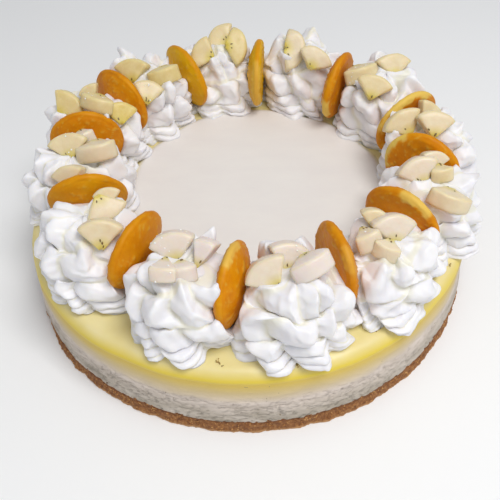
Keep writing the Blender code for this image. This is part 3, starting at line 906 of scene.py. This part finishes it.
def banana_material(settings):
    material, tree, shader, place = new_material("banana_flesh")
    mottle = noise_of(tree, place, 260.0, 4.0, 0.6)
    fresh = blend_of(tree, mottle, 0.35, 0.68, settings.banana, (0.82, 0.735, 0.69))
    ripe = blend_of(tree, mottle, 0.35, 0.68, (0.70, 0.54, 0.13), (0.78, 0.63, 0.22))
    flesh = mix_of(tree, mark_of(tree, "ripe"), fresh, ripe)
    heart = blend_of(tree, mark_of(tree, "core"), 0.52, 0.16, flesh, (0.66, 0.53, 0.05), 0.85)
    # Yellower and a little darker towards the chunk's rounded edges
    edged_flesh = blend_of(tree, mark_of(tree, "edge"), 0.35, 1.0, heart, (0.70, 0.60, 0.30), 0.35)
    set_finish(tree, shader, edged_flesh, {
        "Roughness": 0.42,
        "Coat Weight": 0.08,
        "Coat Roughness": 0.2,
        "Subsurface Weight": 0.5,
        "Subsurface Radius": (1.0, 0.75, 0.4),
        "Subsurface Scale": 3.0 * MM,
    })
    bump_of(tree, shader, noise_of(tree, place, 480.0, 4.0, 0.6), 0.35 * MM, 0.5)
    return material


def seed_material():
    material, tree, shader, place = new_material("banana_seed")
    shade = mix_of(tree, noise_of(tree, place, 900.0), (0.10, 0.05, 0.010), (0.26, 0.17, 0.04))
    set_finish(tree, shader, shade, {"Roughness": 0.4})
    return material


def scatter_tree(name):
    """Node tree that sets small lumps on the faces it is given, with named inputs."""
    tree = bpy.data.node_groups.new(name, "GeometryNodeTree")
    face = tree.interface
    face.new_socket("Geometry", in_out="INPUT", socket_type="NodeSocketGeometry")
    for label, kind, value in (
        ("Per square metre", "NodeSocketFloat", 100000.0),
        ("Smallest", "NodeSocketFloat", 0.2 * MM),
        ("Largest", "NodeSocketFloat", 0.6 * MM),
        ("Flatness", "NodeSocketFloat", 0.7),
        ("Seed", "NodeSocketInt", 1),
        ("Rounds", "NodeSocketInt", 1),
        ("Finish", "NodeSocketMaterial", None),
    ):
        socket = face.new_socket(label, in_out="INPUT", socket_type=kind)
        if value is not None:
            socket.default_value = value
    face.new_socket("Geometry", in_out="OUTPUT", socket_type="NodeSocketGeometry")
    nodes = tree.nodes

    def join(source, output, target, entry):
        tree.links.new(source.outputs[output], target.inputs[entry])

    given = nodes.new("NodeGroupInput")
    result = nodes.new("NodeGroupOutput")

    # Points spread over the faces
    spots = nodes.new("GeometryNodeDistributePointsOnFaces")
    join(given, "Geometry", spots, "Mesh")
    join(given, "Per square metre", spots, "Density")
    join(given, "Seed", spots, "Seed")

    # One lump, with each of its corners pushed out or in
    lump = nodes.new("GeometryNodeMeshIcoSphere")
    lump.inputs["Radius"].default_value = 1.0
    join(given, "Rounds", lump, "Subdivisions")
    dent = nodes.new("ShaderNodeTexNoise")
    dent.inputs["Scale"].default_value = 1.3
    spread = nodes.new("ShaderNodeVectorMath")
    spread.operation = "MULTIPLY_ADD"
    spread.inputs[1].default_value = (1.1, 1.1, 1.1)
    spread.inputs[2].default_value = (-0.55, -0.55, -0.55)
    join(dent, "Color", spread, 0)
    rough = nodes.new("GeometryNodeSetPosition")
    join(lump, "Mesh", rough, "Geometry")
    join(spread, "Vector", rough, "Offset")

    # Its size at each point, flatter than it is wide
    size = nodes.new("FunctionNodeRandomValue")
    size.data_type = "FLOAT"
    for label, bound in (("Smallest", "Min"), ("Largest", "Max")):
        tree.links.new(given.outputs[label], socket_of(size.inputs, bound, "VALUE"))
    join(given, "Seed", size, "Seed")
    value = socket_of(size.outputs, "Value", "VALUE")
    flat = nodes.new("ShaderNodeMath")
    flat.operation = "MULTIPLY"
    tree.links.new(value, flat.inputs[0])
    join(given, "Flatness", flat, 1)
    scale = nodes.new("ShaderNodeCombineXYZ")
    for axis in "XY":
        tree.links.new(value, scale.inputs[axis])
    join(flat, "Value", scale, "Z")
    instances = nodes.new("GeometryNodeInstanceOnPoints")
    join(spots, "Points", instances, "Points")
    join(rough, "Geometry", instances, "Instance")
    join(spots, "Rotation", instances, "Rotation")
    join(scale, "Vector", instances, "Scale")

    # A free turn about the upright of its face
    turn = nodes.new("FunctionNodeRandomValue")
    turn.data_type = "FLOAT"
    socket_of(turn.inputs, "Max", "VALUE").default_value = 2 * math.pi
    spun = nodes.new("ShaderNodeCombineXYZ")
    tree.links.new(socket_of(turn.outputs, "Value", "VALUE"), spun.inputs["Z"])
    rotate = nodes.new("GeometryNodeRotateInstances")
    join(instances, "Instances", rotate, "Instances")
    join(spun, "Vector", rotate, "Rotation")

    plain = nodes.new("GeometryNodeRealizeInstances")
    join(rotate, "Instances", plain, "Geometry")
    finish = nodes.new("GeometryNodeSetMaterial")
    join(plain, "Geometry", finish, "Geometry")
    join(given, "Finish", finish, "Material")
    join(finish, "Geometry", result, "Geometry")
    return tree


def scatter(name, ground, tree, values, material):
    """Run the scatter tree over a ground mesh and keep the lumps as one plain piece."""
    base = bpy.data.objects.new(name + "_ground", ground)
    bpy.context.scene.collection.objects.link(base)
    modifier = base.modifiers.new("scatter", "NODES")
    modifier.node_group = tree
    entries = [item for item in tree.interface.items_tree if item.in_out == "INPUT"]
    sockets = {item.name: item.identifier for item in entries}
    for label, value in {**values, "Finish": material}.items():
        modifier[sockets[label]] = value
    depsgraph = bpy.context.evaluated_depsgraph_get()
    mesh = bpy.data.meshes.new_from_object(base.evaluated_get(depsgraph))
    bpy.data.objects.remove(base, do_unlink=True)
    mesh.name = name
    piece = bpy.data.objects.new(name, mesh)
    bpy.context.scene.collection.objects.link(piece)
    if not mesh.polygons:
        raise RuntimeError(f"{name} came out empty")
    mesh.shade_smooth()
    declare(piece, [])


def patch_mesh(name, spots):
    """Small level squares at given places, from pairs of centre and half width."""
    points, faces = [], []
    for (x, y, z), half in spots:
        first = len(points)
        for a, b in ((-1, -1), (1, -1), (1, 1), (-1, 1)):
            points.append((x + a * half, y + b * half, z))
        faces.append((first, first + 1, first + 2, first + 3))
    mesh = bpy.data.meshes.new(name)
    mesh.from_pydata(points, [], faces)
    mesh.update()
    return mesh


def crumb_material(name, dark, middle, light):
    material, tree, shader, place = new_material(name)
    stops = ((0.30, dark), (0.50, middle), (0.70, light))
    colour = ramp_of(tree, noise_of(tree, place, 500.0, 2.0), stops)
    set_finish(tree, shader, colour, {"Roughness": 0.8})
    bump_of(tree, shader, noise_of(tree, place, 1500.0), 0.2 * MM, 0.5)
    return material


def droplet_material():
    material, tree, shader, place = new_material("juice_droplets")
    # Painted highlight: the near-white colour stands for the glint on clear juice, and the coat
    # adds real gloss
    tint = mix_of(tree, noise_of(tree, place, 300.0), (0.93, 0.91, 0.84), (0.96, 0.95, 0.92))
    set_finish(tree, shader, tint, {"Roughness": 0.04, "Coat Weight": 1.0})
    return material


def crust_edge_mesh():
    """The outer face of the crust, without its top, its underside and its lowest edge."""
    mesh = bpy.data.objects["crumb_base"].data.copy()
    shape = bmesh.new()
    shape.from_mesh(mesh)
    edge = CAKE_RADIUS - 1.6 * MM
    hidden = [face for face in shape.faces if face.calc_center_median().xy.length < edge]
    bmesh.ops.delete(shape, geom=hidden, context="FACES")
    low = [vert for vert in shape.verts if vert.co.z < 0.7 * MM]
    bmesh.ops.delete(shape, geom=low, context="VERTS")
    shape.to_mesh(mesh)
    shape.free()
    return mesh


def fallen_mesh():
    """Patches of the pudding's top that crumbs have fallen on."""
    spots = []
    for direction, reach, half in FALLEN:
        place = heading(direction) * reach * MM
        spots.append(((place.x, place.y, PUDDING_TOP + 0.15 * MM), half * MM))
    return patch_mesh("fallen", spots)


def wet_mesh():
    """All faces of the chunks that have droplets on them."""
    shape = bmesh.new()
    for index, letter in WET_CHUNKS:
        shape.from_mesh(bpy.data.objects[f"banana_chunk_{index:02d}_{letter}"].data)
    mesh = bpy.data.meshes.new("wet_faces")
    shape.to_mesh(mesh)
    shape.free()
    return mesh


def build_crumbs(settings):
    """Crumbs on the crust's edge, crumbs fallen on the pudding and juice on the banana."""
    tree = scatter_tree("scatter_lumps")
    baked = crumb_material(
        "crust_crumbs", (0.18, 0.055, 0.012), (0.40, 0.17, 0.045), (0.66, 0.38, 0.14)
    )
    loose = crumb_material(
        "fallen_crumbs", (0.16, 0.10, 0.03), (0.34, 0.23, 0.07), (0.56, 0.38, 0.12)
    )
    scatter("crust_crumbs", crust_edge_mesh(), tree, {
        "Per square metre": 260000.0,
        "Smallest": 0.18 * MM,
        "Largest": settings.crumb,
        "Seed": settings.crumb_seed,
    }, baked)
    scatter("fallen_crumbs", fallen_mesh(), tree, {
        "Per square metre": 1200000.0,
        "Smallest": 0.16 * MM,
        "Largest": 0.5 * MM,
        "Seed": 5,
    }, loose)
    scatter("juice_droplets", wet_mesh(), tree, {
        "Per square metre": 34000.0,
        "Smallest": 0.16 * MM,
        "Largest": settings.droplet,
        "Flatness": 0.55,
        "Seed": 11,
        "Rounds": 2,
    }, droplet_material())


def crust_material(settings):
    material, tree, shader, place = new_material("crumb_crust")
    crumbs = noise_of(tree, place, 650.0, 5.0, 0.65)
    broad = noise_of(tree, place, 90.0)
    colour = ramp_of(tree, crumbs, (
        (0.30, (0.11, 0.035, 0.009)),
        (0.46, (0.26, 0.10, 0.030)),
        (0.62, settings.crust),
        (0.78, (0.64, 0.38, 0.17)),
    ))
    colour = blend_of(tree, broad, 0.35, 0.7, colour, (0.24, 0.10, 0.035), 0.45)
    z = height_of(tree, place)
    colour = blend_of(tree, z, 4.5 * MM, CRUST_TOP, colour, (0.17, 0.055, 0.015), 0.8)
    # Painted highlight: a light orange-tan band along the crust's lowest edge
    colour = blend_of(tree, z, 1.6 * MM, 0.4 * MM, colour, (0.70, 0.40, 0.18), 0.8)
    set_finish(tree, shader, colour, {"Roughness": 0.85})
    bump_of(tree, shader, crumbs, 0.8 * MM, 0.8)
    return material


def side_material():
    material, tree, shader, place = new_material("baked_cheese")
    z = height_of(tree, place)
    wave = noise_of(tree, place, 60.0, 4.0, 0.6, (1.0, 1.0, 3.2))
    low = ramp_of(tree, wave, (
        (0.30, (0.38, 0.33, 0.26)),
        (0.50, (0.52, 0.455, 0.38)),
        (0.70, (0.62, 0.55, 0.475)),
    ))
    high = ramp_of(tree, wave, (
        (0.30, (0.62, 0.53, 0.45)),
        (0.60, (0.74, 0.64, 0.56)),
    ))
    pale = blend_of(tree, z, 12.0 * MM, 21.0 * MM, low, high)
    tan = blend_of(tree, z, 22.0 * MM, 28.5 * MM, pale, (0.68, 0.53, 0.27))
    colour = blend_of(tree, z, 28.5 * MM, 33.6 * MM, tan, (0.72, 0.52, 0.10))
    specks = noise_of(tree, place, 520.0, 2.0)
    colour = blend_of(tree, specks, 0.73, 0.77, colour, (0.26, 0.19, 0.11))
    set_finish(tree, shader, colour, {"Roughness": 0.6})
    pores = noise_of(tree, place, 260.0, 5.0, 0.6, (1.0, 1.0, 2.2))
    bump_of(tree, shader, pores, 0.8 * MM, 0.5)
    return material


def pudding_material(settings):
    material, tree, shader, place = new_material("set_pudding")
    z = height_of(tree, place)
    soft = noise_of(tree, place, 45.0)
    top = blend_of(tree, soft, 0.35, 0.65, settings.pudding, (0.82, 0.71, 0.36))
    low = (0.72, 0.52, 0.090)
    shoulder = blend_of(tree, z, 34.6 * MM, 36.6 * MM, low, (0.80, 0.61, 0.055))
    colour = blend_of(tree, z, 37.0 * MM, 40.5 * MM, shoulder, top)
    set_finish(tree, shader, colour, {
        "Roughness": 0.4,
        "Subsurface Weight": 0.15,
        "Subsurface Radius": (1.0, 0.8, 0.3),
        "Subsurface Scale": 2.0 * MM,
    })
    bump_of(tree, shader, noise_of(tree, place, 120.0), 0.5 * MM, 0.3)
    return material


def disc_material():
    material, tree, shader, place = new_material("spread_cream")
    streak = noise_of(tree, place, 40.0, 4.0, 0.6, (1.0, 2.2, 1.0))
    colour = blend_of(tree, streak, 0.3, 0.7, (0.80, 0.755, 0.72), (0.83, 0.79, 0.745))
    z = height_of(tree, place)
    edge = (0.80, 0.70, 0.42)
    colour = blend_of(tree, z, DISC_TOP - 0.15 * MM, DISC_TOP - 1.2 * MM, colour, edge)
    set_finish(tree, shader, colour, {"Roughness": 0.5})
    bump_of(tree, shader, streak, 0.8 * MM, 0.25)
    return material


def ring_spots(angle, radius, z):
    """Places on a ring, for fields that are looked up there."""
    return np.stack([radius * np.cos(angle), radius * np.sin(angle), z], axis=1)


def build_crust(material):
    profile = [(CAKE_RADIUS - 1.6 * MM, 0.0)]
    top = 8.2
    for z in np.linspace(0.35, top, 18):
        profile.append((CAKE_RADIUS + (0.6 - 1.4 * (z / top)) * MM, z * MM))
    profile.append((CAKE_RADIUS - 2.4 * MM, CRUST_TOP))

    def relief(angle, z, radius):
        spots = ring_spots(angle, radius, z)
        crags = 0.9 * grain(spots, 7 * MM, 5) + 0.5 * np.abs(grain(spots + 0.4, 2.4 * MM, 3))
        return body_swell(angle) + crags * MM - 0.3 * MM

    turned_layer(
        "crumb_base", profile, CRUST_POINTS, relief, material, ["crust"]
    )


def pudding_relief(angle, radius):
    """Slow waves along the radius, the same on the pudding and on the top of the baked side."""
    reach = np.minimum(radius, PUDDING_RADIUS)
    return 0.45 * MM * grain(ring_spots(angle, reach, np.full(len(angle), 0.03)), 22 * MM, 2)


def build_side(material):
    bottom = CRUST_TOP - 0.6 * MM
    profile = [(CAKE_RADIUS - 3.0 * MM, bottom)]
    for share in np.linspace(0.0, 1.0, 56):
        z = bottom + share * (CHEESECAKE_TOP + 2.6 * MM - bottom)
        tuck = -1.6 * MM * max(0.0, share - 0.975) / 0.025
        profile.append((CAKE_RADIUS - (0.3 + 1.75 * share) * MM + tuck, z))

    def relief(angle, z, radius):
        spots = ring_spots(angle, radius, z * 2.4)
        dents = 0.55 * grain(spots, 16 * MM, 4)
        cracks = -0.95 * np.exp(-(grain(spots + 0.3, 6 * MM, 3) / 0.085) ** 2)
        pits = -1.3 * np.clip(grain(spots + 0.7, 3.5 * MM, 2) - 0.40, 0, 1)
        rough = smooth_step(27.0 * MM, 19.0 * MM, z)
        near = smooth_step(26.0 * MM, 32.0 * MM, z)
        uneven = (dents * (1 - near) + (cracks + pits) * rough) * MM
        return body_swell(angle) + uneven + pudding_relief(angle, radius) * near

    turned_layer(
        "baked_layer", profile, SIDE_POINTS, relief, material, ["cheesecake"]
    )


def build_pudding(material):
    centre_z = PUDDING_TOP - SHOULDER_RADIUS
    profile = [(PUDDING_RADIUS - 3.0 * MM, CHEESECAKE_TOP + 0.1 * MM)]
    for z in np.linspace(33.7, 35.6, 6):
        profile.append((PUDDING_RADIUS - 0.15 * MM * (35.6 - z), z * MM))
    for degrees in np.linspace(6, 90, 20):
        turn = math.radians(degrees)
        profile.append((
            PUDDING_RADIUS + SHOULDER_RADIUS * (math.cos(turn) - 1),
            centre_z + SHOULDER_RADIUS * math.sin(turn),
        ))
    for radius in np.linspace(105, 4, 60):
        profile.append((radius * MM, PUDDING_TOP))

    def relief(angle, z, radius):
        return body_swell(angle) + pudding_relief(angle, radius)

    turned_layer(
        "pudding_layer", profile, PUDDING_POINTS, relief, material, ["pudding"]
    )


def build_disc(material):
    spread = DISC_RADIUS + DISC_SPREAD
    profile = [(spread, PUDDING_TOP - 0.6 * MM)]
    for share in np.linspace(0.0, 1.0, 12):
        profile.append((
            spread - DISC_TAPER * share,
            PUDDING_TOP + (DISC_TOP - PUDDING_TOP) * math.sin(share * math.pi / 2),
        ))
    for radius in np.linspace(63, 2, 40):
        profile.append((radius * MM, DISC_TOP))

    def relief(angle, z, radius):
        fade = smooth_step(0.5, 0.95, np.full(len(angle), radius / DISC_RADIUS))
        return 1.2 * MM * np.sin(3 * angle + 1.0) * np.sin(7 * angle) * fade

    turned_layer(
        "cream_centre", profile, DISC_POINTS, relief, material, ["cream_disc"],
        DISC_CENTRE,
    )


def build_stage():
    """A pale floor under the cake, an even sky and two lamps."""
    half = FLOOR_HALF
    mesh = bpy.data.meshes.new("floor")
    corners = [(-half, -half, 0), (half, -half, 0), (half, half, 0), (-half, half, 0)]
    mesh.from_pydata(corners, [], [(0, 1, 2, 3)])
    material, _, shader, _ = new_material("pale_floor")
    shader.inputs["Base Color"].default_value = FLOOR_COLOUR
    shader.inputs["Roughness"].default_value = 0.8
    mesh.materials.append(material)
    floor = bpy.data.objects.new("floor", mesh)
    bpy.context.scene.collection.objects.link(floor)
    world = bpy.data.worlds.new("soft_studio")
    bpy.context.scene.world = world
    world.use_nodes = True
    sky = world.node_tree.nodes["Background"]
    sky.inputs["Color"].default_value = SKY_COLOUR
    sky.inputs["Strength"].default_value = SKY_STRENGTH
    for name, place, size, power in LAMPS:
        light = bpy.data.lights.new(name, "AREA")
        light.size = size
        light.energy = power
        lamp = bpy.data.objects.new(name, light)
        lamp.location = place
        lamp.rotation_euler = (-Vector(place)).to_track_quat("-Z", "Y").to_euler()
        bpy.context.scene.collection.objects.link(lamp)


def build_camera():
    """The camera looks at the origin from the front, and rolls about its own view."""
    elevation = math.radians(CAMERA_ELEVATION)
    roll = math.radians(CAMERA_ROLL)
    place = CAMERA_DISTANCE * Vector((0.0, -math.cos(elevation), math.sin(elevation)))
    ahead = -place.normalized()
    right = Vector((1.0, 0.0, 0.0))
    up = right.cross(ahead)
    level = right * math.cos(roll) + up * math.sin(roll)
    upright = up * math.cos(roll) - right * math.sin(roll)
    data = bpy.data.cameras.new("camera")
    data.sensor_width = SENSOR_WIDTH
    data.lens = FOCAL_PIXELS / PICTURE_PIXELS * SENSOR_WIDTH
    data.shift_x = (PICTURE_PIXELS / 2 - MIDDLE_PIXELS[0]) / PICTURE_PIXELS
    data.shift_y = (MIDDLE_PIXELS[1] - PICTURE_PIXELS / 2) / PICTURE_PIXELS
    data.clip_start = 0.01
    camera = bpy.data.objects.new("camera", data)
    pose = Matrix((level, upright, -ahead)).transposed().to_4x4()
    pose.translation = place
    camera.matrix_world = pose
    bpy.context.scene.collection.objects.link(camera)
    bpy.context.scene.camera = camera
    bpy.context.scene.view_settings.view_transform = "Standard"


def colour_setting(name, description, default):
    """A colour that can be picked in the panel."""
    return FloatVectorProperty(
        name=name, description=description, subtype="COLOR", default=default, min=0, max=1
    )


class CakeSettings(bpy.types.PropertyGroup):
    cream: colour_setting("Cream", "Colour of the piped cream", (0.90, 0.885, 0.885))
    pudding: colour_setting("Pudding", "Colour of the pudding", (0.78, 0.65, 0.27))
    banana: colour_setting("Banana", "Colour of the banana flesh", (0.81, 0.71, 0.655))
    wafer: colour_setting("Wafer", "Middle colour of the baked wafers", (0.71, 0.255, 0.001))
    crust: colour_setting("Crust", "Middle colour of the crumb crust", (0.43, 0.20, 0.066))
    swirl_rise: FloatProperty(
        name="Swirl Rise", description="Share of the measured height that the swirls are piped to",
        default=1.07, min=0.9, max=1.07,
    )
    blister: FloatProperty(
        name="Blister Height", description="Height of the blisters on the wafers",
        default=0.9 * MM, min=0, max=2 * MM, unit="LENGTH",
    )
    crumb: FloatProperty(
        name="Largest Crumb", description="Width of the largest crumb on the crust",
        default=0.62 * MM, min=0.2 * MM, max=1.5 * MM, unit="LENGTH",
    )
    droplet: FloatProperty(
        name="Largest Droplet", description="Width of the largest droplet on the banana",
        default=0.55 * MM, min=0.2 * MM, max=1.5 * MM, unit="LENGTH",
    )
    crumb_seed: IntProperty(
        name="Crumb Seed", description="Number that the places of the crumbs follow from",
        default=3, min=0, max=1000,
    )


class CAKE_OT_layers(bpy.types.Operator):
    """Build the crust, the baked layer, the pudding and the cream centre"""
    bl_idname = "cake.layers"
    bl_label = "Layers"

    def execute(self, context):
        settings = context.scene.cake
        build_crust(crust_material(settings))
        build_side(side_material())
        build_pudding(pudding_material(settings))
        build_disc(disc_material())
        return {"FINISHED"}


class CAKE_OT_swirls(bpy.types.Operator):
    """Pipe the ring of cream swirls"""
    bl_idname = "cake.swirls"
    bl_label = "Swirls"

    def execute(self, context):
        settings = context.scene.cake
        material = cream_material(settings)
        for index, swirl in enumerate(SWIRLS, 1):
            build_swirl(index, swirl, material, settings.swirl_rise)
        return {"FINISHED"}


class CAKE_OT_wafers(bpy.types.Operator):
    """Stand the round wafers between the swirls"""
    bl_idname = "cake.wafers"
    bl_label = "Wafers"

    def execute(self, context):
        settings = context.scene.cake
        material = wafer_material(settings)
        for index, wafer in enumerate(WAFERS, 1):
            build_wafer(index, wafer, material, settings.blister)
        return {"FINISHED"}


class CAKE_OT_banana(bpy.types.Operator):
    """Press the banana chunks into the swirls' tops"""
    bl_idname = "cake.banana"
    bl_label = "Banana"

    def execute(self, context):
        materials = (banana_material(context.scene.cake), seed_material())
        for index, chunks in CHUNKS.items():
            for letter, chunk in zip("abc", chunks):
                build_chunk(index, letter, chunk, materials, True)
        for index, chunks in SMALL_CHUNKS.items():
            for letter, chunk in zip("pq", chunks):
                build_chunk(index, letter, chunk, materials, False)
        return {"FINISHED"}


class CAKE_OT_crumbs(bpy.types.Operator):
    """Scatter crumbs on the crust and the pudding, and droplets on the banana"""
    bl_idname = "cake.crumbs"
    bl_label = "Crumbs and Droplets"

    def execute(self, context):
        build_crumbs(context.scene.cake)
        return {"FINISHED"}


class CAKE_OT_stage(bpy.types.Operator):
    """Lay the floor and set the lights and the camera"""
    bl_idname = "cake.stage"
    bl_label = "Stage"

    def execute(self, context):
        build_stage()
        build_camera()
        return {"FINISHED"}


class CAKE_PT_panel(bpy.types.Panel):
    bl_idname = "CAKE_PT_panel"
    bl_label = "Cheesecake"
    bl_space_type = "VIEW_3D"
    bl_region_type = "UI"
    bl_category = "Cheesecake"

    def draw(self, context):
        for name in CakeSettings.__annotations__:
            self.layout.prop(context.scene.cake, name)
        for step in STEPS:
            self.layout.operator(step.bl_idname)


STEPS = (
    CAKE_OT_layers,
    CAKE_OT_swirls,
    CAKE_OT_wafers,
    CAKE_OT_banana,
    CAKE_OT_crumbs,
    CAKE_OT_stage,
)
CLASSES = (CakeSettings, *STEPS, CAKE_PT_panel)


def register():
    for item in CLASSES:
        bpy.utils.register_class(item)
    bpy.types.Scene.cake = PointerProperty(type=CakeSettings)


def unregister():
    del bpy.types.Scene.cake
    for item in reversed(CLASSES):
        bpy.utils.unregister_class(item)


def main():
    register()
    bpy.ops.cake.layers()
    bpy.ops.cake.swirls()
    bpy.ops.cake.wafers()
    bpy.ops.cake.banana()
    bpy.ops.cake.crumbs()
    bpy.ops.cake.stage()


if __name__ == "__main__":
    main()
